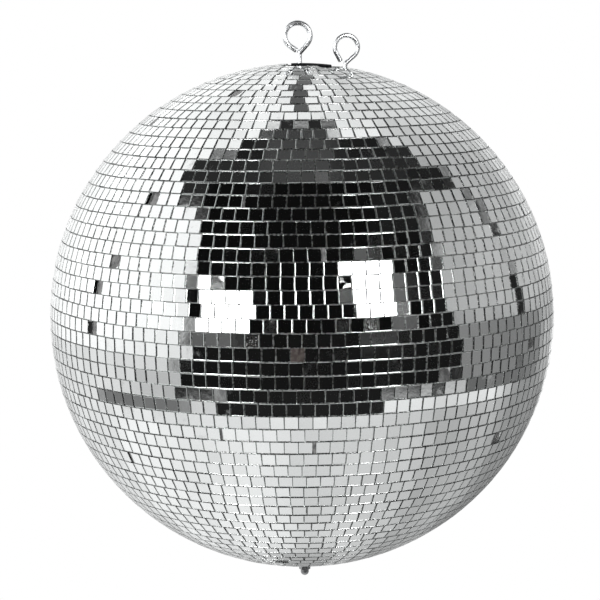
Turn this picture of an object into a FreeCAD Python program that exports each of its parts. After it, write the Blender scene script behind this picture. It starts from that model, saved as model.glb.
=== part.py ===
# Mirror ball, 500 mm, with an open-wire hanging eye on its axis and a smaller safety eye beside it.
# Every length is in millimetres.  +Z runs up the ball's axis, +X points from the hanging eye to the
# safety eye, and the origin lies on the ball's axis level with the centre of the hanging eye's ring.
import FreeCAD, Part
import math
import os
import Sketcher
from FreeCAD import Placement, Rotation, Vector

doc = FreeCAD.newDocument("MirrorBall")

# ---------------------------------------------------------------- driving dimensions
DIMENSIONS = [
    ("centre_drop", 276.6),        # hanging eye's ring centre down to the ball's centre
    ("mirror_radius", 249.8),      # ball's centre to the middle of a mirror face
    ("tile_thickness", 1.8),
    ("tile_width", 12.1),          # width of a row of mirrors, measured along the ball
    ("row_pitch", 2.9),            # degrees of latitude from one row to the next
    ("core_radius", 247.6),
    ("core_wall", 3.5),
    ("joint_ring_radius", 243.4),
    ("joint_ring_wall", 3.0),
    ("joint_ring_height", 20.0),
    ("main_wire_radius", 2.65),
    ("main_ring_radius", 12.45),   # to the middle of the wire
    ("main_ring_offset", 1.6),     # ring centre stands this far to -X of the shank
    ("main_bend_angle", 42.0),     # degrees below level where the ring runs into the long leg
    ("main_stub_angle", 56.0),     # the same for the leg that is cut off
    ("main_stub_length", 7.4),
    ("main_shank_foot", 228.5),    # ball's centre to the lower end of the shank
    ("safety_wire_radius", 2.35),
    ("safety_ring_radius", 11.55),
    ("safety_ring_offset", 1.9),
    ("safety_bend_angle", 41.0),
    ("safety_stub_angle", 39.2),
    ("safety_stub_length", 9.4),
    ("safety_ring_height", 19.2),  # ring centre above the mirrors
    ("safety_tilt", 10.3),         # degrees from the ball's axis, towards +X
    ("safety_turn", 12.0),         # degrees the ring is turned about its own shank
    ("safety_shank_foot", 236.0),
    ("main_hole_radius", 2.75),
    ("safety_hole_radius", 2.40),
    ("plate_left", 8.0),           # mounting plate, from the axis to each edge
    ("plate_right", 31.4),
    ("plate_half_depth", 22.0),
    ("plate_inner_radius", 247.9),
    ("plate_outer_radius", 249.9),
    ("plate_corner", 5.0),
    ("cutout_margin", 1.3),        # mirrors stop this far from the plate
    ("safety_clearing", 6.5),      # mirrors stop this far from the safety eye's shank
    ("nut_across_flats", 10.0),
    ("nut_height", 5.2),
    ("coupling_length", 30.0),
    ("spreader_radius", 22.0),
    ("spreader_thickness", 2.0),
    ("rod_radius", 2.65),
    ("rod_foot", 262.5),           # ball's centre down to the rod's lower end
    ("rod_head", 224.0),           # ball's centre up to the rod's upper end
    ("thread_bore_radius", 2.70),
    ("inner_washer_radius", 15.0),
    ("washer_thickness", 1.6),
    ("bottom_washer_radius", 18.0),
    ("bottom_washer_thickness", 2.4),
    ("cap_nut_hex_height", 5.6),
    ("cap_nut_dome_radius", 4.1),
    ("cap_nut_height", 12.0),
    ("small_nut_across_flats", 8.0),
    ("small_nut_height", 4.0),
    ("small_washer_radius", 10.0),
    ("small_washer_thickness", 1.2),
]
sheet = doc.addObject("Spreadsheet::Sheet", "Dimensions")
for line, (alias, number) in enumerate(DIMENSIONS, start=1):
    sheet.set("A%d" % line, alias)
    sheet.set("B%d" % line, str(number))
    sheet.setAlias("B%d" % line, alias)
doc.recompute()
dim = dict(DIMENSIONS)
nodes = []


def bound(expression):
    """Turn bare dimension names in an expression into references to the sheet."""
    words, word = [], ""
    for sign in expression + " ":
        if sign.isalnum() or sign == "_":
            word += sign
        else:
            words.append("Dimensions." + word if word in dim else word)
            words.append(sign)
            word = ""
    return "".join(words).strip()


def bind(thing, prop, expression):
    thing.setExpression(prop, bound(expression))


def primitive(kind, name, **sizes):
    """A Part primitive whose sizes are expressions in the driving dimensions."""
    thing = doc.addObject("Part::" + kind, name)
    for prop, expression in sizes.items():
        bind(thing, prop, expression)
    return thing


def cut(name, base, tool):
    result = doc.addObject("Part::Cut", name)
    result.Base, result.Tool = base, tool
    return result


def fuse(name, shapes):
    result = doc.addObject("Part::MultiFuse", name)
    result.Shapes = shapes
    return result


def keep(thing, name):
    thing.Label = name
    nodes.append((name, thing))
    return thing


# The safety eye stands square to the ball, tilted from the axis towards +X.
BALL_CENTRE = Vector(0, 0, -dim["centre_drop"])
SAFETY_AXIS = Placement(BALL_CENTRE, Rotation(Vector(0, 1, 0), dim["safety_tilt"]))


def along_axis(thing, height):
    """Stand a shape on the ball's axis at a height above the ball's centre."""
    bind(thing, "Placement.Base.z", "%s - centre_drop" % height)


# ---------------------------------------------------------------- PartDesign helpers
def origin_plane(body, role):
    return [part for part in body.Origin.OriginFeatures if part.Role == role][0]


def new_body(name):
    return doc.addObject("PartDesign::Body", name)


def new_sketch(body, name, role):
    sketch = body.newObject("Sketcher::SketchObject", name)
    sketch.AttachmentSupport = [(origin_plane(body, role), "")]
    sketch.MapMode = "FlatFace"
    return sketch


def add_circle(sketch, label, expression):
    index = sketch.addGeometry(Part.Circle(Vector(0, 0, 0), Vector(0, 0, 1), 5.0), False)
    sketch.addConstraint(Sketcher.Constraint("Coincident", index, 3, -1, 1))
    rule = sketch.addConstraint(Sketcher.Constraint("Radius", index, 5.0))
    sketch.renameConstraint(rule, label)
    bind(sketch, "Constraints." + label, expression)
    return index


def add_hexagon(sketch, label, across_flats):
    """A hexagon about the origin, held by its corner radius."""
    ring = sketch.addGeometry(Part.Circle(Vector(0, 0, 0), Vector(0, 0, 1), 5.0), True)
    sketch.addConstraint(Sketcher.Constraint("Coincident", ring, 3, -1, 1))
    corners = [Vector(5 * math.cos(math.radians(60 * k)), 5 * math.sin(math.radians(60 * k)), 0)
               for k in range(6)]
    sides = [sketch.addGeometry(Part.LineSegment(corners[k], corners[(k + 1) % 6]), False)
             for k in range(6)]
    for k in range(6):
        sketch.addConstraint(Sketcher.Constraint("Coincident", sides[k], 2, sides[(k + 1) % 6], 1))
        sketch.addConstraint(Sketcher.Constraint("PointOnObject", sides[k], 1, ring))
        if k:
            sketch.addConstraint(Sketcher.Constraint("Equal", sides[0], sides[k]))
    sketch.addConstraint(Sketcher.Constraint("PointOnObject", sides[0], 1, -1))
    rule = sketch.addConstraint(Sketcher.Constraint("Radius", ring, 5.0))
    sketch.renameConstraint(rule, label)
    bind(sketch, "Constraints." + label, "%s / 2 / cos(30)" % across_flats)


def pad(body, sketch, name, length):
    feature = body.newObject("PartDesign::Pad", name)
    feature.Profile = sketch
    bind(feature, "Length", length)
    sketch.Visibility = False
    return feature


def disc(name, radius, thickness, bore):
    """A washer or disc: two circles padded upwards."""
    body = new_body(name)
    sketch = new_sketch(body, name + "_section", "XY_Plane")
    add_circle(sketch, "rim", radius)
    add_circle(sketch, "bore", bore)
    pad(body, sketch, name + "_pad", thickness)
    return body


def hex_nut(name, across_flats, height, bore):
    """A hexagon nut, padded upwards, with its outer corners turned off at both ends."""
    body = new_body(name)
    sketch = new_sketch(body, name + "_hexagon", "XY_Plane")
    add_hexagon(sketch, "corner", across_flats)
    pad(body, sketch, name + "_pad", height)
    opening = new_sketch(body, name + "_bore", "XY_Plane")
    add_circle(opening, "bore", bore)
    pocket = body.newObject("PartDesign::Pocket", name + "_pocket")
    pocket.Profile = opening
    pocket.Type = 1
    pocket.Midplane = True
    turn_off_corners(body, name, across_flats, "0", 1)
    turn_off_corners(body, name, across_flats, height, -1)
    return body


def turn_off_corners(body, name, across_flats, level, side):
    """A 30 degree chamfer turned round the nut's corners, side +1 at its foot and -1 at its head."""
    end = "foot" if side > 0 else "head"
    sketch = new_sketch(body, name + "_chamfer_" + end, "XZ_Plane")
    points = [Vector(4, 0, 0), Vector(6, 0, 0), Vector(6, side, 0)]
    lines = [sketch.addGeometry(Part.LineSegment(points[k], points[(k + 1) % 3]), False)
             for k in range(3)]
    for k in range(3):
        sketch.addConstraint(Sketcher.Constraint("Coincident", lines[k], 2, lines[(k + 1) % 3], 1))
    flat, corner = "%s / 2" % across_flats, "(%s * 0.62)" % across_flats
    rise = "(%s * 0.12 * tan(30))" % across_flats
    heights = [level, level, "%s + %s" % (level, rise) if side > 0 else "%s - %s" % (level, rise)]
    for k, (across, height) in enumerate(zip([flat, corner, corner], heights)):
        hold_point(sketch, lines[k], "p%d" % k, across, height)
    groove = body.newObject("PartDesign::Groove", name + "_groove_" + end)
    groove.Profile = sketch
    groove.ReferenceAxis = (sketch, ["V_Axis"])
    groove.Angle = 360
    sketch.Visibility = False


def hold_point(sketch, line, label, across, height):
    """Hold the start point of a line at a place given by two expressions."""
    for kind, suffix, expression in (("DistanceX", "x", across), ("DistanceY", "z", height)):
        here = sketch.getPoint(line, 1)
        value = here.x if kind == "DistanceX" else here.y
        rule = sketch.addConstraint(Sketcher.Constraint(kind, line, 1, value))
        sketch.renameConstraint(rule, label + suffix)
        bind(sketch, "Constraints." + label + suffix, expression)


# ---------------------------------------------------------------- core shells
def core_half(name, upper):
    """Half of the hollow plastic ball, a spherical shell from the equator to one pole."""
    low, high = ("0", "90") if upper else ("-90", "0")
    outside = primitive("Sphere", name + "_outside", Radius="core_radius", Angle1=low, Angle2=high)
    inside = primitive("Sphere", name + "_inside", Radius="core_radius - core_wall",
                       Angle1=low, Angle2=high)
    outside.Placement = inside.Placement = Placement(BALL_CENTRE, Rotation())
    shell = cut(name + "_shell", outside, inside)
    hole = primitive("Cylinder", name + "_rod_hole", Radius="main_hole_radius", Height="300")
    hole.Placement = Placement(BALL_CENTRE, Rotation(Vector(1, 0, 0), 0 if upper else 180))
    holes = [hole]
    if upper:
        second = primitive("Cylinder", name + "_safety_hole", Radius="safety_hole_radius",
                           Height="300")
        second.Placement = SAFETY_AXIS
        holes.append(second)
    return keep(cut(name, shell, fuse(name + "_holes", holes) if upper else hole), name)


core_half("core_upper_half", True)
core_half("core_lower_half", False)

joint_outside = primitive("Cylinder", "joint_outside", Radius="joint_ring_radius",
                          Height="joint_ring_height")
joint_inside = primitive("Cylinder", "joint_inside", Radius="joint_ring_radius - joint_ring_wall",
                         Height="joint_ring_height")
for ring_part in (joint_outside, joint_inside):
    along_axis(ring_part, "(-joint_ring_height / 2)")
keep(cut("equator_joint_ring", joint_outside, joint_inside), "equator_joint_ring")


# ---------------------------------------------------------------- rows of mirrors
def mirror_rows(name, rows, clear_top=False):
    """Rows of mirrors as thin conical bands, flat across their width like the mirrors in them."""
    sketch = doc.addObject("Sketcher::SketchObject", name + "_section")
    sketch.Placement = Placement(BALL_CENTRE, Rotation(Vector(1, 0, 0), 90))
    for row in rows:
        latitude = "(row_pitch * %d)" % row
        angle = math.radians(dim["row_pitch"] * row)
        corners = []
        for depth, side in ((0, -1), (0, 1), (1, 1), (1, -1)):
            radius = "(mirror_radius - tile_thickness)" if depth else "mirror_radius"
            across = "%s * cos(%s) - (%d) * tile_width / 2 * sin(%s)" % (radius, latitude, side,
                                                                         latitude)
            height = "%s * sin(%s) + (%d) * tile_width / 2 * cos(%s)" % (radius, latitude, side,
                                                                         latitude)
            length = dim["mirror_radius"] - depth * dim["tile_thickness"]
            half = side * dim["tile_width"] / 2
            place = Vector(length * math.cos(angle) - half * math.sin(angle),
                           length * math.sin(angle) + half * math.cos(angle), 0)
            corners.append((place, across, height))
        lines = [sketch.addGeometry(Part.LineSegment(corners[k][0], corners[(k + 1) % 4][0]), False)
                 for k in range(4)]
        for k in range(4):
            sketch.addConstraint(Sketcher.Constraint("Coincident", lines[k], 2,
                                                     lines[(k + 1) % 4], 1))
        tag = "r%d" % (row + 100)
        for k, (place, across, height) in enumerate(corners):
            hold_point(sketch, lines[k], "%sc%d" % (tag, k), across, height)
    sketch.Visibility = False
    bands = doc.addObject("Part::Revolution", name + "_bands")
    bands.Source = sketch
    bands.Axis, bands.Base = Vector(0, 0, 1), Vector(0, 0, 0)
    bands.Angle, bands.Solid = 360, True
    if not clear_top:
        return keep(bands, name)
    window = primitive("Box", name + "_window", Length="plate_left + plate_right + 2 * cutout_margin",
                       Width="2 * (plate_half_depth + cutout_margin)", Height="60")
    bind(window, "Placement.Base.x", "-plate_left - cutout_margin")
    bind(window, "Placement.Base.y", "-plate_half_depth - cutout_margin")
    along_axis(window, "220")
    clearing = primitive("Cylinder", name + "_clearing", Radius="safety_clearing", Height="300")
    clearing.Placement = SAFETY_AXIS
    return keep(cut(name, bands, fuse(name + "_tools", [window, clearing])), name)


ROW_GROUPS = [range(3, 8), range(8, 13), range(13, 18), range(18, 23), range(23, 28), range(28, 31)]
mirror_rows("mirror_rows_equator", range(-2, 3))
for number, group in enumerate(ROW_GROUPS, start=1):
    mirror_rows("mirror_rows_upper_%d" % number, group, clear_top=number >= 5)
    # the last row round the lower pole makes way for the bottom washer
    lower = [-row for row in group if row < 30]
    mirror_rows("mirror_rows_lower_%d" % number, lower)


# ---------------------------------------------------------------- mounting plate
plate_outside = primitive("Sphere", "plate_outside", Radius="plate_outer_radius")
plate_inside = primitive("Sphere", "plate_inside", Radius="plate_inner_radius")
plate_outside.Placement = plate_inside.Placement = Placement(BALL_CENTRE, Rotation())
plate_shell = cut("plate_shell", plate_outside, plate_inside)
plate_block = primitive("Box", "plate_block", Length="plate_left + plate_right",
                        Width="2 * plate_half_depth", Height="60")
bind(plate_block, "Placement.Base.x", "-plate_left")
bind(plate_block, "Placement.Base.y", "-plate_half_depth")
along_axis(plate_block, "220")
doc.recompute()
plate_outline = doc.addObject("Part::Fillet", "plate_outline")
plate_outline.Base = plate_block
plate_outline.Edges = [(number, dim["plate_corner"], dim["plate_corner"])
                       for number, edge in enumerate(plate_block.Shape.Edges, start=1)
                       if abs(edge.tangentAt(edge.FirstParameter).z) > 0.99]
plate_blank = doc.addObject("Part::Common", "plate_blank")
plate_blank.Base, plate_blank.Tool = plate_shell, plate_outline
plate_hole = primitive("Cylinder", "plate_hole", Radius="main_hole_radius", Height="300")
plate_hole.Placement = Placement(BALL_CENTRE, Rotation())
keep(cut("mounting_plate", plate_blank, plate_hole), "mounting_plate")


# ---------------------------------------------------------------- open-wire eyes
def wire_eye(name, prefix, ring_level, shank_foot):
    """An eye bent from one wire: shank, leg, ring and a second leg cut off beside the shank.

    The shank runs down the local Z axis; ring_level and shank_foot are heights from the ball's
    centre, and the ring lies in the local XZ plane."""
    wire, ring = dim[prefix + "_wire_radius"], dim[prefix + "_ring_radius"]
    offset, bend = dim[prefix + "_ring_offset"], math.radians(dim[prefix + "_bend_angle"])
    stub_bend = math.radians(dim[prefix + "_stub_angle"])
    names = {"w": prefix + "_wire_radius", "r": prefix + "_ring_radius",
             "o": prefix + "_ring_offset", "b": prefix + "_bend_angle"}
    level = ring_level
    loop = primitive("Torus", name + "_loop", Radius1=names["r"], Radius2=names["w"],
                     Angle3="180 + %s + %s_stub_angle" % (names["b"], prefix))
    loop.Placement = Placement(Vector(-offset, 0, level),
                               Rotation(Vector(0, 1, 0), math.degrees(bend))
                               * Rotation(Vector(1, 0, 0), 90))
    # the leg that runs into the shank
    start = Vector(ring * math.cos(bend) - offset, 0, level - ring * math.sin(bend))
    heading = Vector(-math.sin(bend), 0, -math.cos(bend))
    leg_length = start.x / math.sin(bend)
    elbow = start + heading * leg_length
    leg = primitive("Cylinder", name + "_leg", Radius=names["w"],
                    Height="(%(r)s * cos(%(b)s) - %(o)s) / sin(%(b)s)" % names)
    leg.Placement = Placement(start, Rotation(Vector(0, 0, 1), heading))
    bend_ball = primitive("Sphere", name + "_elbow", Radius=names["w"])
    bend_ball.Placement = Placement(elbow, Rotation())
    shank = primitive("Cylinder", name + "_shank", Radius=names["w"],
                      Height="%.6f - %s" % (elbow.z, shank_foot))
    bind(shank, "Placement.Base.z", shank_foot)
    # the leg that is cut off beside the shank
    other = Vector(-ring * math.cos(stub_bend) - offset, 0, level - ring * math.sin(stub_bend))
    towards = Vector(math.sin(stub_bend), 0, -math.cos(stub_bend))
    stub = primitive("Cylinder", name + "_stub", Radius=names["w"], Height=prefix + "_stub_length")
    stub.Placement = Placement(other, Rotation(Vector(0, 0, 1), towards))
    return keep(fuse(name, [loop, leg, bend_ball, shank, stub]), name)


main_eye = wire_eye("main_eye", "main", dim["centre_drop"], "main_shank_foot")
main_eye.Placement = Placement(BALL_CENTRE, Rotation())
safety_eye = wire_eye("safety_eye", "safety", dim["mirror_radius"] + dim["safety_ring_height"],
                      "safety_shank_foot")
safety_eye.Placement = SAFETY_AXIS.multiply(Placement(Vector(0, 0, 0),
                                                      Rotation(Vector(0, 0, 1), dim["safety_turn"])))


# ---------------------------------------------------------------- hardware on the ball's axis
INNER_SEAT = "sqrt((core_radius - core_wall)^2 - %s^2)"   # where a flat disc meets the inner wall

spreader = keep(disc("spreader_disc", "spreader_radius", "spreader_thickness", "main_hole_radius"),
                "spreader_disc")
along_axis(spreader, (INNER_SEAT % "spreader_radius") + " - 0.05 - spreader_thickness")
COUPLING_TOP = (INNER_SEAT % "spreader_radius") + " - 0.1 - spreader_thickness"
coupling = keep(hex_nut("coupling_nut", "nut_across_flats", "coupling_length",
                        "thread_bore_radius"), "coupling_nut")
along_axis(coupling, COUPLING_TOP + " - coupling_length")

rod = new_body("through_rod")
rod_section = new_sketch(rod, "through_rod_section", "XY_Plane")
add_circle(rod_section, "rim", "rod_radius")
pad(rod, rod_section, "through_rod_pad", "rod_head + rod_foot")
keep(rod, "through_rod")
along_axis(rod, "(-rod_foot)")

bottom_inner_washer = keep(disc("bottom_inner_washer", "inner_washer_radius", "washer_thickness",
                                "main_hole_radius"), "bottom_inner_washer")
along_axis(bottom_inner_washer, "0.05 - " + INNER_SEAT % "inner_washer_radius")
bottom_inner_nut = keep(hex_nut("bottom_inner_nut", "nut_across_flats", "nut_height",
                                "thread_bore_radius"), "bottom_inner_nut")
along_axis(bottom_inner_nut, "0.1 + washer_thickness - " + INNER_SEAT % "inner_washer_radius")

bottom_washer = keep(disc("bottom_washer", "bottom_washer_radius", "bottom_washer_thickness",
                          "main_hole_radius"), "bottom_washer")
along_axis(bottom_washer, "(-core_radius) - 0.05 - bottom_washer_thickness")
NUT_HEAD = "(-core_radius) - 0.1 - bottom_washer_thickness"
bottom_nut = keep(hex_nut("bottom_hex_nut", "nut_across_flats", "nut_height",
                          "thread_bore_radius"), "bottom_hex_nut")
along_axis(bottom_nut, NUT_HEAD + " - nut_height")

# the cap nut is made standing on its hexagon's open face and then turned over
cap_nut = new_body("bottom_cap_nut")
cap_hexagon = new_sketch(cap_nut, "cap_nut_hexagon", "XY_Plane")
add_hexagon(cap_hexagon, "corner", "nut_across_flats")
pad(cap_nut, cap_hexagon, "cap_nut_pad", "cap_nut_hex_height")
dome_stem = new_sketch(cap_nut, "cap_nut_dome_section", "XY_Plane")
add_circle(dome_stem, "rim", "cap_nut_dome_radius")
dome = pad(cap_nut, dome_stem, "cap_nut_dome", "cap_nut_height")
doc.recompute()
tip = ["Edge%d" % number for number, edge in enumerate(dome.Shape.Edges, start=1)
       if abs(edge.CenterOfMass.z - dim["cap_nut_height"]) < 0.01]
rounding = cap_nut.newObject("PartDesign::Fillet", "cap_nut_rounding")
rounding.Base = (dome, tip)
bind(rounding, "Radius", "cap_nut_dome_radius * 0.95")
cap_bore = new_sketch(cap_nut, "cap_nut_bore", "XY_Plane")
add_circle(cap_bore, "bore", "thread_bore_radius")
cap_pocket = cap_nut.newObject("PartDesign::Pocket", "cap_nut_pocket")
cap_pocket.Profile = cap_bore
cap_pocket.Reversed = True
bind(cap_pocket, "Length", "cap_nut_height * 0.7")
keep(cap_nut, "bottom_cap_nut")
cap_nut.Placement = Placement(
    BALL_CENTRE + Vector(0, 0, -dim["core_radius"] - 0.15 - dim["bottom_washer_thickness"]
                         - dim["nut_height"]), Rotation(Vector(1, 0, 0), 180))

# ---------------------------------------------------------------- safety eye's inner hardware
small_washer = keep(disc("safety_inner_washer", "small_washer_radius", "small_washer_thickness",
                         "safety_hole_radius"), "safety_inner_washer")
small_nut = keep(hex_nut("safety_inner_nut", "small_nut_across_flats", "small_nut_height",
                         "safety_hole_radius"), "safety_inner_nut")
seat = math.sqrt((dim["core_radius"] - dim["core_wall"]) ** 2 - dim["small_washer_radius"] ** 2)
washer_foot = seat - 0.05 - dim["small_washer_thickness"]
small_washer.Placement = SAFETY_AXIS.multiply(Placement(Vector(0, 0, washer_foot), Rotation()))
small_nut.Placement = SAFETY_AXIS.multiply(
    Placement(Vector(0, 0, washer_foot - 0.05 - dim["small_nut_height"]), Rotation()))

# ---------------------------------------------------------------- check and write
doc.recompute()
for thing in doc.Objects:
    if "Invalid" in thing.State or "Error" in thing.State:
        raise RuntimeError("%s is in error: %s" % (thing.Name, thing.getStatusString()))
os.makedirs("parts", exist_ok=True)
for name, thing in nodes:
    shape = thing.Shape
    if shape.isNull() or not shape.isValid() or not shape.Solids:
        raise RuntimeError("%s has no valid solid" % name)
    shape.exportStep("parts/%s.step" % name)
    box = shape.BoundBox
    print("%-22s solids %2d volume %10.1f  x %.1f..%.1f y %.1f..%.1f z %.1f..%.1f" % (
        name, len(shape.Solids), shape.Volume, box.XMin, box.XMax, box.YMin, box.YMax,
        box.ZMin, box.ZMax))
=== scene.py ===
# Mirror ball: looks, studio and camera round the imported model.  Lengths are in metres, apart from
# the paths of the wires, which are in millimetres.
import math
import random

import bpy
from mathutils import Matrix, Quaternion, Vector


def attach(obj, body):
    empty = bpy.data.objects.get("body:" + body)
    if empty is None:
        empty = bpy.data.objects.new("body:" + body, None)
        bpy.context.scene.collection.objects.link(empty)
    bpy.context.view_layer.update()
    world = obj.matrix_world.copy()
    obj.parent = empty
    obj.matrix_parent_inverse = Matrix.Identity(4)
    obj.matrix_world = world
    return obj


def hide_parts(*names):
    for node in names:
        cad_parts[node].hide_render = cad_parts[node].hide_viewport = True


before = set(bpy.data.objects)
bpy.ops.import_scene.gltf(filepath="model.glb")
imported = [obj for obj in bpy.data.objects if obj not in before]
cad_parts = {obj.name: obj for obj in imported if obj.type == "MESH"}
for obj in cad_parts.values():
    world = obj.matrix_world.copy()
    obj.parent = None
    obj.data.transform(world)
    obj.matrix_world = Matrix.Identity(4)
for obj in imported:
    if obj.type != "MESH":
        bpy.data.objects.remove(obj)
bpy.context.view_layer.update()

MM = 0.001
CENTRE = Vector((0, 0, -276.6)) * MM          # centre of the ball
BALL = 0.25                                   # radius over the mirrors
MIRROR = 249.66 * MM                          # centre to the middle of a mirror's face
BACKING = 248.45 * MM                         # adhesive showing in the seams
ROW_PITCH = math.radians(2.9)
TILE = 12.1 * MM
TILE_PITCH = 12.66 * MM                       # along a row
TILE_GAP = 0.55 * MM
TILE_THICK = 0.95 * MM
TILE_BEVEL = 0.28 * MM
SAFETY_TILT = math.radians(10.3)              # of the safety eye's shank from the ball's axis
PLATE = dict(x0=-8.0 * MM, x1=31.4 * MM, y=22.0 * MM)
PLATE_MARGIN = 1.3 * MM                       # kept clear of mirrors round the plate
SHANK_CLEARANCE = 6.2 * MM                    # and this far from the axis of the safety eye's shank


# ------------------------------------------------------------------ camera
CAMERA_DISTANCE = 8.04 * BALL
CAMERA_ELEVATION = math.radians(8.215)
CAMERA_ROLL = math.radians(0.612)
SENSOR_WIDTH = 36.0                           # millimetres
LENS = 120.66                                 # millimetres
BALL_RIGHT = math.radians(0.05698)            # of the ball's centre from the middle of the view
BALL_BELOW = math.radians(0.41882)
FARTHEST_SEEN = 200
# direction from the ball to the camera
TO_CAMERA = (0, -math.cos(CAMERA_ELEVATION), math.sin(CAMERA_ELEVATION))


def make_camera():
    level_up = Vector((0, math.sin(CAMERA_ELEVATION), math.cos(CAMERA_ELEVATION)))
    level_right = Vector((1, 0, 0))
    back = Vector(TO_CAMERA)
    up = level_up * math.cos(CAMERA_ROLL) + level_right * math.sin(CAMERA_ROLL)
    right = level_right * math.cos(CAMERA_ROLL) - level_up * math.sin(CAMERA_ROLL)
    looking = Matrix((right, up, back)).transposed()
    wanted = Vector((math.tan(BALL_RIGHT), -math.tan(BALL_BELOW), -1)).normalized()
    turn = Vector((0, 0, -1)).rotation_difference(wanted).inverted()
    data = bpy.data.cameras.new("camera")
    data.sensor_width = SENSOR_WIDTH
    data.lens = LENS
    data.clip_end = FARTHEST_SEEN
    camera = bpy.data.objects.new("camera", data)
    camera.matrix_world = Matrix.Translation(CENTRE + back * CAMERA_DISTANCE) @ (
        looking @ turn.to_matrix()).to_4x4()
    bpy.context.scene.collection.objects.link(camera)
    bpy.context.scene.camera = camera


make_camera()


# ------------------------------------------------------------------ node helpers
class Tree:
    """Short calls for building a node tree."""

    def __init__(self, tree):
        self.tree = tree
        self.nodes = tree.nodes
        self.nodes.clear()

    def add(self, kind, **settings):
        node = self.nodes.new(kind)
        for name, value in settings.items():
            setattr(node, name, value)
        return node

    def feed(self, node, socket, value):
        target = node.inputs[socket]
        if isinstance(value, bpy.types.NodeSocket):
            self.tree.links.new(value, target)
        else:
            target.default_value = value

    def math(self, operation, a, b=0.0, clamp=False):
        node = self.add("ShaderNodeMath", operation=operation, use_clamp=clamp)
        self.feed(node, 0, a)
        if len(node.inputs) > 1:
            self.feed(node, 1, b)
        return node.outputs[0]

    def vector(self, operation, a, b=(0, 0, 0)):
        node = self.add("ShaderNodeVectorMath", operation=operation)
        self.feed(node, 0, a)
        self.feed(node, 1, b)
        return node.outputs[0]

    def ramp(self, value, low, high, out_low=0.0, out_high=1.0, smooth=True):
        node = self.add("ShaderNodeMapRange",
                        interpolation_type="SMOOTHSTEP" if smooth else "LINEAR")
        for socket, number in enumerate((value, low, high, out_low, out_high)):
            self.feed(node, socket, number)
        return node.outputs[0]

    def mix(self, factor, a, b):
        node = self.add("ShaderNodeMix", data_type="FLOAT")
        self.feed(node, 0, factor)
        self.feed(node, 2, a)
        self.feed(node, 3, b)
        return node.outputs[0]

    def mix_colour(self, factor, a, b):
        node = self.add("ShaderNodeMix", data_type="RGBA")
        self.feed(node, 0, factor)
        self.feed(node, 6, a)
        self.feed(node, 7, b)
        return node.outputs[2]

    def noise(self, coordinates, scale, detail=3.0, rough=0.55):
        node = self.add("ShaderNodeTexNoise")
        self.feed(node, "Vector", coordinates)
        self.feed(node, "Scale", scale)
        self.feed(node, "Detail", detail)
        self.feed(node, "Roughness", rough)
        return node.outputs["Fac"]


def grey(level, warm=0.0):
    return (level * (1 + warm), level, level * (1 - warm), 1)


# ------------------------------------------------------------------ surroundings
WALLS = 0.86                                  # brightness where no patch lies
SURROUND_GAIN = 1.08                          # of the walls and patches together
SIDE_GAIN = 1.24                              # of what the sides of the ball reflect
SIDE_FROM, SIDE_TO = 26, 60                   # degrees across, over which that gain comes in


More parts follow.
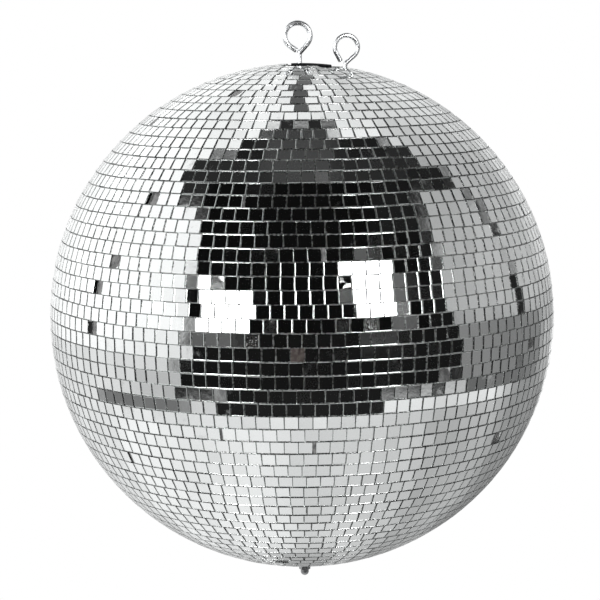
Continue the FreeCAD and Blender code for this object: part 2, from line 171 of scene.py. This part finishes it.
def make_world():
    """A white studio with a dark room behind the camera.

    Its shapes are laid out by where they show on the ball: `across` and `height` are the longitude
    and latitude, in degrees, of the mirrors that reflect each part of it to the front."""
    world = bpy.data.worlds.new("studio")
    bpy.context.scene.world = world
    world.use_nodes = True
    t = Tree(world.node_tree)
    direction = t.add("ShaderNodeTexCoord").outputs["Generated"]
    ratio = CAMERA_DISTANCE / BALL
    camera_place = tuple(part * ratio for part in TO_CAMERA)
    # a mirror faces halfway between what it reflects and the camera: first taking the camera as
    # very far away, then from the place on the ball which that gives
    facing = t.vector("NORMALIZE", t.vector("ADD", direction, TO_CAMERA))
    to_camera = t.vector("NORMALIZE", t.vector("SUBTRACT", camera_place, facing))
    facing = t.vector("NORMALIZE", t.vector("ADD", direction, to_camera))
    split = t.add("ShaderNodeSeparateXYZ")
    t.feed(split, 0, facing)
    degrees = 180 / math.pi
    height = t.math("MULTIPLY", t.math("ARCSINE", split.outputs[2]), degrees)
    across = t.math("MULTIPLY", t.math("ARCTAN2", split.outputs[0],
                                       t.math("MULTIPLY", split.outputs[1], -1)), degrees)
    # uneven light over the whole surround, and wavering sides to its shapes
    wander = t.noise(direction, 2.2, 3)
    wobble = t.math("MULTIPLY", t.math("SUBTRACT", t.noise(direction, 5.0, 2), 0.5), 3.0)
    across = t.math("ADD", across, wobble)

    def patch(lon0, lon1, lat0, lat1, soft=0.7, soft_lon=None):
        """A mask between two longitudes and two latitudes, its edges `soft` degrees wide each way."""
        soft_lon = soft_lon or soft
        parts = [t.ramp(across, lon0 - soft_lon, lon0 + soft_lon),
                 t.ramp(across, lon1 - soft_lon, lon1 + soft_lon, 1, 0),
                 t.ramp(height, lat0 - soft, lat0 + soft),
                 t.ramp(height, lat1 - soft, lat1 + soft, 1, 0)]
        mask = parts[0]
        for part in parts[1:]:
            mask = t.math("MULTIPLY", mask, part)
        return mask

    level = WALLS
    # each patch is laid over the ones before it
    layers = [
        # big light on the left, and the wall under it
        (0.97, patch(-64, -26, 4, 50, 5)),
        (0.64, patch(-76, -14, -14, -1, 2, 6)),
        # floor: all of it, its paler and darker parts on the left, under the ball and to the right
        (0.62, patch(-200, 200, -95, -14, 1)),
        (0.80, patch(-47, -4, -58, -14.5, 2, 5)),
        (0.50, patch(-90, -46, -80, -48, 5)),
        (0.42, patch(-14, 14, -95, -56, 5)),
        (0.56, patch(17, 30, -95, -12, 3)),
        (0.40, patch(28, 90, -95, -12, 4)),
        (0.235, patch(50, 75, -54, -5, 4, 6)),
        # ceiling to the right
        (0.66, patch(12, 90, 52, 80, 6)),
        (0.44, patch(14, 50, 76, 95, 3)),
        (0.50, patch(30, 90, 38, 56, 7)),
        # wall to the right, its dark foot and its bright far side
        (0.38, patch(29, 76, 4, 44, 6, 5)),
        (0.20, patch(27, 74, -9, 6, 3, 4)),
        (0.38, patch(66, 78, -12, 10, 5, 3)),
        (0.60, patch(68, 90, 10, 50, 5)),
        (0.98, patch(75, 90, -80, -2, 5, 3)),
        # low dark edge on the left
        (0.45, patch(-38, -23, -10, -5, 1.5, 4)),
        (0.16, patch(-50, -24, -13.5, -10, 0.6, 2)),
        # stepped roof of the dark room behind the camera
        (0.012, patch(-33, -27, 36, 39.6, 0.7)),
        (0.022, patch(-31, 29, 31, 41.6, 0.7)),
        (0.022, patch(-26, 34, 38, 44.4, 0.7)),
        (0.012, patch(-19, 26, 43, 47.4, 0.7)),
        (0.022, patch(-12, 11, 46, 52.6, 0.7)),
        (0.014, patch(28, 42, 34, 40, 0.8)),
        # a paler panel under the roof
        (0.055, patch(-9, 9, 36.5, 50, 1.5, 1.0)),
        (0.10, patch(4.5, 8.5, 34, 40, 0.8)),
        # the room itself
        (0.004, patch(-24, 29.5, -8.8, 35.6, 0.5)),
        (0.008, patch(-26.8, -22, -8.9, -1.5, 0.5)),
        (0.014, patch(-17.5, 17, -13.2, -8, 0.4)),
        (0.008, patch(-23, 28, -8.5, 4, 2)),
        # smudges of light beside the lamps
        (0.11, patch(-22, -12.5, 0.6, 4.0, 0.5)),
        (0.12, patch(19.4, 23, 4.5, 16.5, 0.7, 0.7)),
        (0.10, patch(10.5, 16, 18.6, 22, 0.6)),
        (0.05, patch(12, 19, 0.5, 3.2, 0.6)),
        # the room's right side
        (0.008, patch(27, 34.5, -8.5, 8, 0.6)),
        (0.010, patch(27, 31.5, 7, 24, 0.6)),
        (0.012, patch(17, 29, 24, 35, 2.0)),
        # dim wall with a narrow dark arc in front of it, on the right
        (0.16, patch(46, 62, -9.8, 4, 2, 3)),
        (0.12, patch(38, 54, -9.8, -6.8, 0.5)),
        (0.012, patch(54.2, 55.8, -9.5, 10, 0.4)),
        (0.012, patch(52.2, 53.8, 9, 20, 0.4)),
        (0.015, patch(50.0, 51.6, 19, 26, 0.5)),
        (0.020, patch(47.2, 49.0, 25, 30, 0.5)),
        (0.025, patch(43.6, 46.6, 29.5, 33.5, 0.6)),
        # shadow under the ball
        (0.05, patch(-12, 40, -96, -74, 2)),
        # gap between the lights overhead
        (0.10, patch(-3.4, 4.0, 56.5, 71, 1.0)),
        (0.16, patch(-3, 11, 69, 77, 3, 2)),
        (0.30, patch(-8, 12, 77, 91, 2, 3)),
    ]
    for value, mask in layers:
        level = t.mix(mask, level, value)
    level = t.math("MULTIPLY", level, t.ramp(wander, 0.2, 0.8, 0.88, 1.12, smooth=False))
    level = t.math("MULTIPLY", level, SURROUND_GAIN)
    sideways = t.math("ABSOLUTE", across)
    level = t.math("MULTIPLY", level, t.ramp(sideways, SIDE_FROM, SIDE_TO, 1.0, SIDE_GAIN))
    seen = t.add("ShaderNodeLightPath").outputs["Is Camera Ray"]
    around = t.add("ShaderNodeBackground")
    t.feed(around, "Color", t.mix_colour(0.5, grey(1.0), (0.985, 0.995, 1.0, 1)))
    t.feed(around, "Strength", level)
    plain = t.add("ShaderNodeBackground")
    t.feed(plain, "Color", grey(1.0))
    t.feed(plain, "Strength", 1.0)
    both = t.add("ShaderNodeMixShader")
    t.feed(both, 0, seen)
    t.feed(both, 1, around.outputs[0])
    t.feed(both, 2, plain.outputs[0])
    out = t.add("ShaderNodeOutputWorld")
    t.feed(out, 0, both.outputs[0])


def on_ball(lon, lat):
    """The outward direction at a longitude and latitude in degrees, longitude 0 at the front."""
    lon, lat = math.radians(lon), math.radians(lat)
    return Vector((math.cos(lat) * math.sin(lon), -math.cos(lat) * math.cos(lon), math.sin(lat)))


SOFT_BOX_RADIANCE = 11.0
SOFT_BOX_DISTANCE = 2.6                       # from the mirrors that show it


def soft_box(name, lon, lat, wide, tall):
    """A soft box placed so that the mirrors at lon, lat reflect it to the front."""
    out = on_ball(lon, lat)
    view = (Vector(TO_CAMERA) * CAMERA_DISTANCE - out * BALL).normalized()
    ray = 2 * out.dot(view) * out - view
    light = bpy.data.lights.new(name, "AREA")
    light.shape = "RECTANGLE"
    light.size, light.size_y = wide, tall
    light.energy = SOFT_BOX_RADIANCE * math.pi * wide * tall
    box = bpy.data.objects.new(name, light)
    box.location = CENTRE + out * BALL + ray * SOFT_BOX_DISTANCE
    box.rotation_mode = "QUATERNION"
    box.rotation_quaternion = ray.to_track_quat("Z", "Y")
    bpy.context.scene.collection.objects.link(box)


make_world()
soft_box("soft_box_left", lon=-16.2, lat=9.6, wide=1.12, tall=0.84)
soft_box("soft_box_right", lon=14.7, lat=13.2, wide=0.96, tall=1.06)

bpy.context.scene.view_settings.view_transform = "Standard"
bpy.context.scene.view_settings.look = "None"


FLOOR_HALF = 90.0
FLOOR_BELOW = 7.0                             # the ball's centre


def make_floor():
    """A pale floor that the camera sees.  What the mirrors reflect of a floor is in the world."""
    mesh = bpy.data.meshes.new("floor")
    half, level = FLOOR_HALF, CENTRE.z - FLOOR_BELOW
    mesh.from_pydata([(-half, -half, level), (half, -half, level), (half, half, level),
                      (-half, half, level)], [], [(0, 1, 2, 3)])
    floor = bpy.data.objects.new("floor", mesh)
    bpy.context.scene.collection.objects.link(floor)
    material = bpy.data.materials.new("pale_floor")
    material.use_nodes = True
    t = Tree(material.node_tree)
    glow = t.add("ShaderNodeEmission")
    t.feed(glow, "Color", grey(1.0))
    t.feed(glow, "Strength", 1.0)
    out = t.add("ShaderNodeOutputMaterial")
    t.feed(out, 0, glow.outputs[0])
    mesh.materials.append(material)
    floor.visible_glossy = False
    floor.visible_diffuse = False
    floor.visible_transmission = False


make_floor()


# ------------------------------------------------------------------ materials
GLASS_IOR = 1.52


def principled(name):
    """A new material with its tree and its shader."""
    material = bpy.data.materials.new(name)
    material.use_nodes = True
    t = Tree(material.node_tree)
    shader = t.add("ShaderNodeBsdfPrincipled")
    out = t.add("ShaderNodeOutputMaterial")
    t.feed(out, 0, shader.outputs[0])
    return material, t, shader


def bump(t, shader, height, strength, distance):
    node = t.add("ShaderNodeBump")
    t.feed(node, "Strength", strength)
    t.feed(node, "Distance", distance)
    t.feed(node, "Height", height)
    t.feed(shader, "Normal", node.outputs[0])


def mirror_material():
    """Silvering behind the glass: each mirror a little different, some with hazy smears."""
    material, t, shader = principled("silvered_glass")
    place = t.add("ShaderNodeTexCoord").outputs["Object"]
    each = t.add("ShaderNodeAttribute", attribute_name="each_tile").outputs["Fac"]
    smear = t.ramp(t.noise(place, 70, 4, 0.6), 0.58, 0.75)
    tone = t.ramp(each, 0.0, 1.0, 0.90, 0.99, smooth=False)
    tone = t.math("SUBTRACT", tone, t.math("MULTIPLY", smear, 0.04))
    colour = t.add("ShaderNodeCombineColor")
    t.feed(colour, 0, t.math("MULTIPLY", tone, 0.992))
    t.feed(colour, 1, tone)
    t.feed(colour, 2, t.math("MULTIPLY", tone, 0.998))
    t.feed(shader, "Base Color", colour.outputs[0])
    t.feed(shader, "Metallic", 1.0)
    haze = t.math("ADD", t.math("MULTIPLY", smear, 0.13), t.ramp(each, 0.70, 1.0, 0.0, 0.07))
    t.feed(shader, "Roughness", t.math("ADD", 0.012, haze))
    bump(t, shader, t.noise(place, 160, 2), 0.05, 0.0002)
    return material


def clear_glass_material():
    """The glass in front of the silvering, with a faint film on it."""
    material, t, shader = principled("clear_glass")
    place = t.add("ShaderNodeTexCoord").outputs["Object"]
    film = t.noise(place, 46, 4, 0.6)
    t.feed(shader, "Base Color", t.mix_colour(film, (0.978, 0.990, 0.984, 1),
                                              (0.994, 0.998, 0.996, 1)))
    t.feed(shader, "Roughness", t.ramp(film, 0.45, 0.8, 0.0, 0.012))
    t.feed(shader, "Transmission Weight", 1.0)
    t.feed(shader, "IOR", GLASS_IOR)
    return material


def edge_material():
    """Slightly green bevel and side of the glass, ground rough."""
    material, t, shader = principled("cut_glass_edge")
    place = t.add("ShaderNodeTexCoord").outputs["Object"]
    chips = t.noise(place, 420, 3)
    t.feed(shader, "Base Color", t.mix_colour(t.ramp(chips, 0.35, 0.7), (0.72, 0.80, 0.77, 1),
                                              (0.96, 0.98, 0.97, 1)))
    t.feed(shader, "Roughness", t.ramp(chips, 0.3, 0.7, 0.18, 0.38))
    t.feed(shader, "Transmission Weight", 1.0)
    t.feed(shader, "IOR", GLASS_IOR)
    bump(t, shader, chips, 0.3, 0.0002)
    return material


def worn_material():
    """Silvering that has gone warm and dull, behind one mirror."""
    material, t, shader = principled("worn_silvering")
    place = t.add("ShaderNodeTexCoord").outputs["Object"]
    stain = t.noise(place, 240, 4, 0.65)
    t.feed(shader, "Base Color", t.mix_colour(t.ramp(stain, 0.4, 0.65), (0.15, 0.12, 0.11, 1),
                                              (0.23, 0.195, 0.18, 1)))
    t.feed(shader, "Metallic", 0.25)
    t.feed(shader, "Roughness", t.ramp(stain, 0.3, 0.7, 0.3, 0.5))
    return material


def adhesive_material():
    """Grey adhesive, rough and specked, deep in the seams."""
    material, t, shader = principled("grey_adhesive")
    place = t.add("ShaderNodeTexCoord").outputs["Object"]
    speck = t.noise(place, 150, 5, 0.6)
    t.feed(shader, "Base Color", t.mix_colour(t.ramp(speck, 0.35, 0.65), (0.12, 0.12, 0.122, 1),
                                              (0.30, 0.30, 0.295, 1)))
    t.feed(shader, "Roughness", t.ramp(speck, 0.3, 0.7, 0.35, 0.6))
    t.feed(shader, "Metallic", 0.1)
    bump(t, shader, speck, 0.5, 0.0003)
    return material


def core_material():
    """Plain grey moulded plastic, lightly grained."""
    material, t, shader = principled("grey_core_plastic")
    place = t.add("ShaderNodeTexCoord").outputs["Object"]
    grain = t.noise(place, 260, 4)
    t.feed(shader, "Base Color", t.mix_colour(grain, (0.42, 0.42, 0.41, 1), (0.60, 0.60, 0.58, 1)))
    t.feed(shader, "Roughness", t.ramp(grain, 0.3, 0.7, 0.5, 0.7))
    bump(t, shader, grain, 0.2, 0.0003)
    return material


def plate_material():
    """Matt black paint with a slight orange peel and dusty, rubbed patches."""
    material, t, shader = principled("black_paint")
    place = t.add("ShaderNodeTexCoord").outputs["Object"]
    dust = t.ramp(t.noise(place, 90, 5, 0.65), 0.5, 0.8)
    t.feed(shader, "Base Color", t.mix_colour(dust, (0.005, 0.005, 0.006, 1),
                                              (0.025, 0.025, 0.026, 1)))
    t.feed(shader, "Roughness", t.ramp(dust, 0, 1, 0.75, 0.9))
    t.feed(shader, "Specular IOR Level", 0.06)
    bump(t, shader, t.noise(place, 900, 2), 0.15, 0.0002)
    return material


def zinc_material(name, bright, dull_tone, polish):
    """Satin zinc plate: cool, slightly streaked, with duller patches.

    polish is the roughness where it is smoothest."""
    material, t, shader = principled(name)
    place = t.add("ShaderNodeTexCoord").outputs["Object"]
    stretched = t.add("ShaderNodeMapping")
    t.feed(stretched, "Vector", place)
    t.feed(stretched, "Scale", (1.0, 1.0, 0.25))
    streaks = t.noise(stretched.outputs[0], 900, 3, 0.6)
    dull = t.ramp(t.noise(place, 120, 3), 0.45, 0.7)
    t.feed(shader, "Base Color", t.mix_colour(dull, grey(bright, -0.012), grey(dull_tone, -0.015)))
    t.feed(shader, "Metallic", 1.0)
    t.feed(shader, "Roughness", t.math("ADD", t.ramp(streaks, 0.3, 0.7, polish, polish + 0.08),
                                       t.math("MULTIPLY", dull, 0.08)))
    bump(t, shader, streaks, 0.02, 0.0001)
    return material


TILE_MATERIALS = [mirror_material(), edge_material(), worn_material(), clear_glass_material()]
SILVERED, CUT, WORN, CLEAR = range(len(TILE_MATERIALS))
ADHESIVE = adhesive_material()
CORE = core_material()
PAINT = plate_material()
ZINC = zinc_material("bright_zinc", bright=0.95, dull_tone=0.88, polish=0.25)
OLD_ZINC = zinc_material("dull_zinc", bright=0.42, dull_tone=0.30, polish=0.34)


# ------------------------------------------------------------------ mirrors
TOP_ROW = 30                                  # rows are counted from the equator
EVEN_FROM = 26                                # rows this near the poles are laid in equal steps
FEWEST_ROUND = 5                              # mirrors in one of those
GROUPS = [range(3, 8), range(8, 13), range(13, 18), range(18, 23), range(23, 28),
          range(28, TOP_ROW + 1)]
WIDTH_RANGE = (0.985, 1.012)                  # of a mirror, as shares of TILE
HEIGHT_RANGE = (0.985, 1.01)
BEVEL_DEPTH_RANGE = (0.65, 1.15)              # as shares of the bevel's width
STEP_SPREAD = 0.012                           # of a step along the row
HEIGHT_SPREAD = 0.12                          # millimetres, of a mirror above or below its row
TILT_SPREAD = 0.32                            # degrees
SPIN_SPREAD = 0.5                             # degrees
ROW_LEAN_SPREAD = 0.05                        # degrees, shared by a row
ODD_SHARE = 0.003                             # of mirrors that lean at random
ODD_TILT = 6                                  # degrees at most
SMALLEST_END = 0.35                           # of a step: less than this ends the row open
LONGEST_END = 1.02                            # of a step: less than this is one last mirror
LEAST_HALF_WIDTH = 0.4 * MM
DEEPEST_DROP = 1.3 * MM                       # of a leaning mirror into the adhesive
NEAR_CORNER = 0.8                             # of the way from a mirror's middle to its corners
# mirrors that have worked loose and lean towards the dark room, as (longitude, latitude)
LOOSE = [(-39, 32), (-50, 12), (-51, 3), (-51, -9)]
LOOSE_REACH = 0.021                           # how near one has to lie, in radii of the ball
ROOM_EDGE = -21                               # longitude whose mirrors show the room
WORN_PLACE = (-1.2, 0)                        # longitude and latitude of the worn mirror
WORN_REACH = 0.022
chance = random.Random(29)
laid_loose = []


def in_cutout(point):
    """Whether a point of the ball lies in the part cleared for the plate or the safety eye."""
    if point.z < 0:
        return False
    if PLATE["x0"] - PLATE_MARGIN < point.x < PLATE["x1"] + PLATE_MARGIN and (
            abs(point.y) < PLATE["y"] + PLATE_MARGIN):
        return True
    shank = Vector((math.sin(SAFETY_TILT), 0, math.cos(SAFETY_TILT)))
    return (point - shank * point.dot(shank)).length < SHANK_CLEARANCE


def outward(lon, lat):
    """The outward direction at a longitude and latitude in radians, longitude 0 along x."""
    return Vector((math.cos(lat) * math.cos(lon), math.cos(lat) * math.sin(lon), math.sin(lat)))


def add_tile(build, middle, east, north, normal, half_height, half_foot, half_head, worn):
    """One bevelled slab of glass with silvering on its back.

    `build` gathers vertices, faces, material numbers, and one random number for each mirror.
    Vertices 0 to 3 go round the front, 4 to 7 round the bevel and 8 to 11 round the back."""
    start = len(build["verts"])
    tag = chance.random()
    slope = chance.uniform(*BEVEL_DEPTH_RANGE)
    rings = ((0.0, TILE_BEVEL), (-TILE_BEVEL * slope, 0.0), (-TILE_THICK, 0.0))
    for depth, inset in rings:
        for side_e, side_n in ((-1, -1), (1, -1), (1, 1), (-1, 1)):
            half = half_foot if side_n < 0 else half_head
            build["verts"].append(middle + normal * depth + east * side_e * (half - inset)
                                  + north * side_n * (half_height - inset))
    faces = [((0, 1, 2, 3), CLEAR)]
    for k in range(4):
        m = (k + 1) % 4
        faces.append(((4 + k, 4 + m, m, k), CUT))
        faces.append(((8 + k, 8 + m, 4 + m, 4 + k), CUT))
    faces.append(((11, 10, 9, 8), WORN if worn else SILVERED))
    for corners, material in faces:
        build["faces"].append([start + corner for corner in corners])
        build["materials"].append(material)
        build["tags"].append(tag)


def half_width(width, share, radius, lat, side):
    """Half the width at a mirror's lower (-1) or upper (1) side, clear of its neighbours."""
    reach = radius - side * math.sin(lat) * TILE / 2
    room = 2 * reach * math.tan(share / 2) - TILE_GAP
    return max(LEAST_HALF_WIDTH, min(width / 2, room / 2))


def lay_row(build, row):
    """Lay one row of mirrors round the ball, from a random start, closing with whatever fits."""
    lat = row * ROW_PITCH
    radius = MIRROR * math.cos(lat)
    even = abs(row) >= EVEN_FROM
    share = TILE_PITCH / radius
    if even:
        share = 2 * math.pi / max(FEWEST_ROUND, round(2 * math.pi / share))
    start = chance.uniform(0, 2 * math.pi)
    lean = chance.gauss(0, ROW_LEAN_SPREAD)
    angle = 0.0
    while True:
        width = TILE * chance.uniform(*WIDTH_RANGE)
        step = share * chance.gauss(1.0, STEP_SPREAD)
        if even:
            step = share
        left = 2 * math.pi - angle
        if left < step * SMALLEST_END:
            break
        if left < step * LONGEST_END and not even:
            width = min(width, left * radius - 2 * TILE_GAP)
            step = left
        lon = start + angle + step / 2
        angle += step
        jitter_lat = chance.gauss(0, HEIGHT_SPREAD) * MM
        out = outward(lon, lat)
        east = Vector((-math.sin(lon), math.cos(lon), 0))
        north = out.cross(east)
        foot = half_width(width, share, radius, lat, -1)
        head = half_width(width, share, radius, lat, 1)
        middle = out * MIRROR + north * jitter_lat
        half = TILE / 2 * chance.uniform(*HEIGHT_RANGE)
        if in_cutout(middle) or any(
                in_cutout(middle + east * side_e * min(foot, head) * NEAR_CORNER
                          + north * side_n * half * NEAR_CORNER)
                for side_e in (-1, 1) for side_n in (-1, 1)):
            continue
        # a mirror is never quite square to the ball
        odd = chance.random() < ODD_SHARE
        if odd:
            tilt = math.radians(chance.uniform(-ODD_TILT, ODD_TILT))
            swing = math.radians(chance.uniform(-ODD_TILT, ODD_TILT))
        else:
            tilt = math.radians(chance.gauss(0, TILT_SPREAD) + lean)
            swing = math.radians(chance.gauss(0, TILT_SPREAD))
        spin = math.radians(chance.gauss(0, SPIN_SPREAD))
        loose = next((place for place in LOOSE if (out - on_ball(*place)).length < LOOSE_REACH
                      and place not in laid_loose), None)
        if loose:
            laid_loose.append(loose)
            swing = math.radians(ROOM_EDGE - loose[0])
        turn = Quaternion(east, tilt) @ Quaternion(north, swing) @ Quaternion(out, spin)
        drop = 0.0
        if odd or loose:
            drop = abs(math.sin(tilt)) * half + abs(math.sin(swing)) * foot
        worn = (row == 0 and (out - on_ball(*WORN_PLACE)).length < WORN_REACH
                and not build.get("worn"))
        if worn:
            build["worn"] = True
        add_tile(build, middle - out * min(drop, DEEPEST_DROP), turn @ east, turn @ north,
                 turn @ out, half, foot, head, worn)


def mesh_object(name, verts, faces, materials, smooth=False):
    mesh = bpy.data.meshes.new(name)
    mesh.from_pydata([tuple(v) for v in verts], [], faces)
    for material in materials:
        mesh.materials.append(material)
    if smooth:
        mesh.polygons.foreach_set("use_smooth", [True] * len(mesh.polygons))
    piece = bpy.data.objects.new(name, mesh)
    bpy.context.scene.collection.objects.link(piece)
    return piece


def mirror_group(name, node, rows):
    """The mirrors of some rows as one piece, in place of the CAD node that stands for them."""
    build = {"verts": [], "faces": [], "materials": [], "tags": []}
    for row in rows:
        lay_row(build, row)
    piece = mesh_object(name, [v + CENTRE for v in build["verts"]], build["faces"], TILE_MATERIALS)
    piece.data.polygons.foreach_set("material_index", build["materials"])
    tags = piece.data.attributes.new("each_tile", "FLOAT", "FACE")
    tags.data.foreach_set("value", build["tags"])
    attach(piece, "ball")
    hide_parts(node)


mirror_group("mirrors_equator", "mirror_rows_equator", range(-2, 3))
for number, group in enumerate(GROUPS, start=1):
    mirror_group("mirrors_upper_%d" % number, "mirror_rows_upper_%d" % number, group)
    # the bottom washer takes the place of the lowest row
    mirror_group("mirrors_lower_%d" % number, "mirror_rows_lower_%d" % number,
                 [-row for row in group if row < TOP_ROW])


BACKING_THICK = 0.5 * MM
BACKING_END = math.radians(86.6)              # latitude where it stops
BOTTOM_OPEN = math.radians(4.2)               # left open round the lower pole


def backing_half(name, upper):
    """The adhesive bed under the mirrors, left off where the plate and the bottom washer sit."""
    across, tall = 180, 62
    verts, faces = [], []
    sign = 1 if upper else -1
    for j in range(tall + 1):
        lat = sign * BACKING_END * j / tall
        for i in range(across):
            lon = 2 * math.pi * i / across
            verts.append(outward(lon, lat) * BACKING)
    for j in range(tall):
        for i in range(across):
            k = (i + 1) % across
            quad = [j * across + i, j * across + k, (j + 1) * across + k, (j + 1) * across + i]
            if upper and any(in_cutout(verts[q]) for q in quad):
                continue
            if not upper and verts[quad[2]].z < -BACKING * math.cos(BOTTOM_OPEN):
                continue
            faces.append(quad if upper else quad[::-1])
    piece = mesh_object(name, [v + CENTRE for v in verts], faces, [ADHESIVE], smooth=True)
    solidify = piece.modifiers.new("thickness", "SOLIDIFY")
    solidify.thickness = BACKING_THICK
    solidify.offset = -1
    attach(piece, "ball")


backing_half("adhesive_upper", True)
backing_half("adhesive_lower", False)


# ------------------------------------------------------------------ wire eyes
WIRE_SIDES = 28
END_CHAMFER = 0.35                            # millimetres, at a cut end
ELBOW_RADIUS = 1.6                            # in radii of the wire
SHANK_STEPS, ELBOW_STEPS, LEG_STEPS, RING_STEPS, STUB_STEPS = 12, 12, 5, 72, 6


def bend_path(wire, ring, offset, bend, stub, stub_length, level, foot):
    """Centre line of the bent wire in its own plane, as (across, up) points in millimetres.

    wire and ring are radii.  The ring's middle is `offset` to the side of the shank, at height
    `level`, and the shank starts at height `foot`.  bend and stub are the degrees below level where
    the ring runs into its long leg and into the leg that is cut off."""
    bend, stub = math.radians(bend), math.radians(stub)
    sin, cos = math.sin(bend), math.cos(bend)
    start = (ring * cos - offset, level - ring * sin)
    leg = start[0] / sin
    elbow = (0.0, start[1] - leg * cos)
    # round the elbow with an arc tangent to the shank and the leg
    radius = wire * ELBOW_RADIUS
    cut = radius * math.tan(bend / 2)
    points = [(0.0, foot + (elbow[1] - cut - foot) * k / SHANK_STEPS) for k in range(SHANK_STEPS)]
    centre = (radius, elbow[1] - cut)
    for k in range(ELBOW_STEPS + 1):
        a = math.pi - bend * k / ELBOW_STEPS
        points.append((centre[0] + radius * math.cos(a), centre[1] + radius * math.sin(a)))
    last = points[-1]
    for k in range(1, LEG_STEPS):
        points.append((last[0] + (start[0] - last[0]) * k / LEG_STEPS,
                       last[1] + (start[1] - last[1]) * k / LEG_STEPS))
    sweep = math.pi + bend + stub
    for k in range(RING_STEPS + 1):
        a = -bend + sweep * k / RING_STEPS
        points.append((-offset + ring * math.cos(a), level + ring * math.sin(a)))
    other = (-ring * math.cos(stub) - offset, level - ring * math.sin(stub))
    for k in range(1, STUB_STEPS + 1):
        points.append((other[0] + math.sin(stub) * stub_length * k / STUB_STEPS,
                       other[1] - math.cos(stub) * stub_length * k / STUB_STEPS))
    return points


def wire_piece(name, node, body, wire, points, place):
    """Sweep a round wire along a flat path, with a small chamfer at each cut end."""
    around = WIRE_SIDES
    verts, faces = [], []
    # each ring of vertices as its middle, the direction of the wire there, and a radius
    rings = []
    for k, (x, z) in enumerate(points):
        before, after = points[max(0, k - 1)], points[min(len(points) - 1, k + 1)]
        dx, dz = after[0] - before[0], after[1] - before[1]
        size = math.hypot(dx, dz)
        dx, dz = dx / size, dz / size
        rings.append((x, z, dx, dz, wire))
    first, last = rings[0], rings[-1]
    chamfer = END_CHAMFER
    rings[0] = (first[0] + first[2] * chamfer, first[1] + first[3] * chamfer) + first[2:]
    rings.insert(0, first[:4] + (wire - chamfer,))
    rings[-1] = (last[0] - last[2] * chamfer, last[1] - last[3] * chamfer) + last[2:]
    rings.append(last[:4] + (wire - chamfer,))
    for x, z, dx, dz, radius in rings:
        for m in range(around):
            a = 2 * math.pi * m / around
            side, deep = radius * math.cos(a), radius * math.sin(a)
            verts.append(place @ (Vector((x - dz * side, deep, z + dx * side)) * MM))
    for k in range(len(rings) - 1):
        for m in range(around):
            n = (m + 1) % around
            faces.append([k * around + m, k * around + n, (k + 1) * around + n,
                          (k + 1) * around + m])
    faces.append(list(range(around))[::-1])
    faces.append([(len(rings) - 1) * around + m for m in range(around)])
    piece = mesh_object(name, verts, faces, [ZINC], smooth=True)
    for polygon in list(piece.data.polygons)[-2:]:
        polygon.use_smooth = False
    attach(piece, body)
    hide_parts(node)


MAIN_EYE = dict(wire=2.65, ring=12.45, offset=1.6, bend=42.0, stub=56.0, stub_length=7.4,
                level=276.6, foot=228.6)
SAFETY_EYE = dict(wire=2.35, ring=11.55, offset=1.9, bend=41.0, stub=39.2, stub_length=9.4,
                  level=269.0, foot=236.1)
SAFETY_TURN = math.radians(12)                # the ring about its own shank
upright = Matrix.Translation(CENTRE)
wire_piece("main_wire_eye", "main_eye", "ball", MAIN_EYE["wire"], bend_path(**MAIN_EYE), upright)
leaning = upright @ Matrix.Rotation(SAFETY_TILT, 4, "Y") @ Matrix.Rotation(SAFETY_TURN, 4, "Z")
wire_piece("safety_wire_eye", "safety_eye", "safety_eye_body", SAFETY_EYE["wire"],
           bend_path(**SAFETY_EYE), leaning)


# ------------------------------------------------------------------ CAD pieces that stay
def finish_node(node, material):
    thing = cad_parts[node]
    if not thing.material_slots:
        thing.data.materials.append(material)
    for place in thing.material_slots:
        place.material = material


for node in ("core_upper_half", "core_lower_half", "equator_joint_ring"):
    finish_node(node, CORE)
finish_node("mounting_plate", PAINT)
for node in ("coupling_nut", "through_rod", "spreader_disc", "bottom_inner_washer",
             "bottom_inner_nut", "safety_inner_washer", "safety_inner_nut"):
    finish_node(node, ZINC)
for node in ("bottom_washer", "bottom_hex_nut", "bottom_cap_nut"):
    finish_node(node, OLD_ZINC)

bpy.context.view_layer.update()
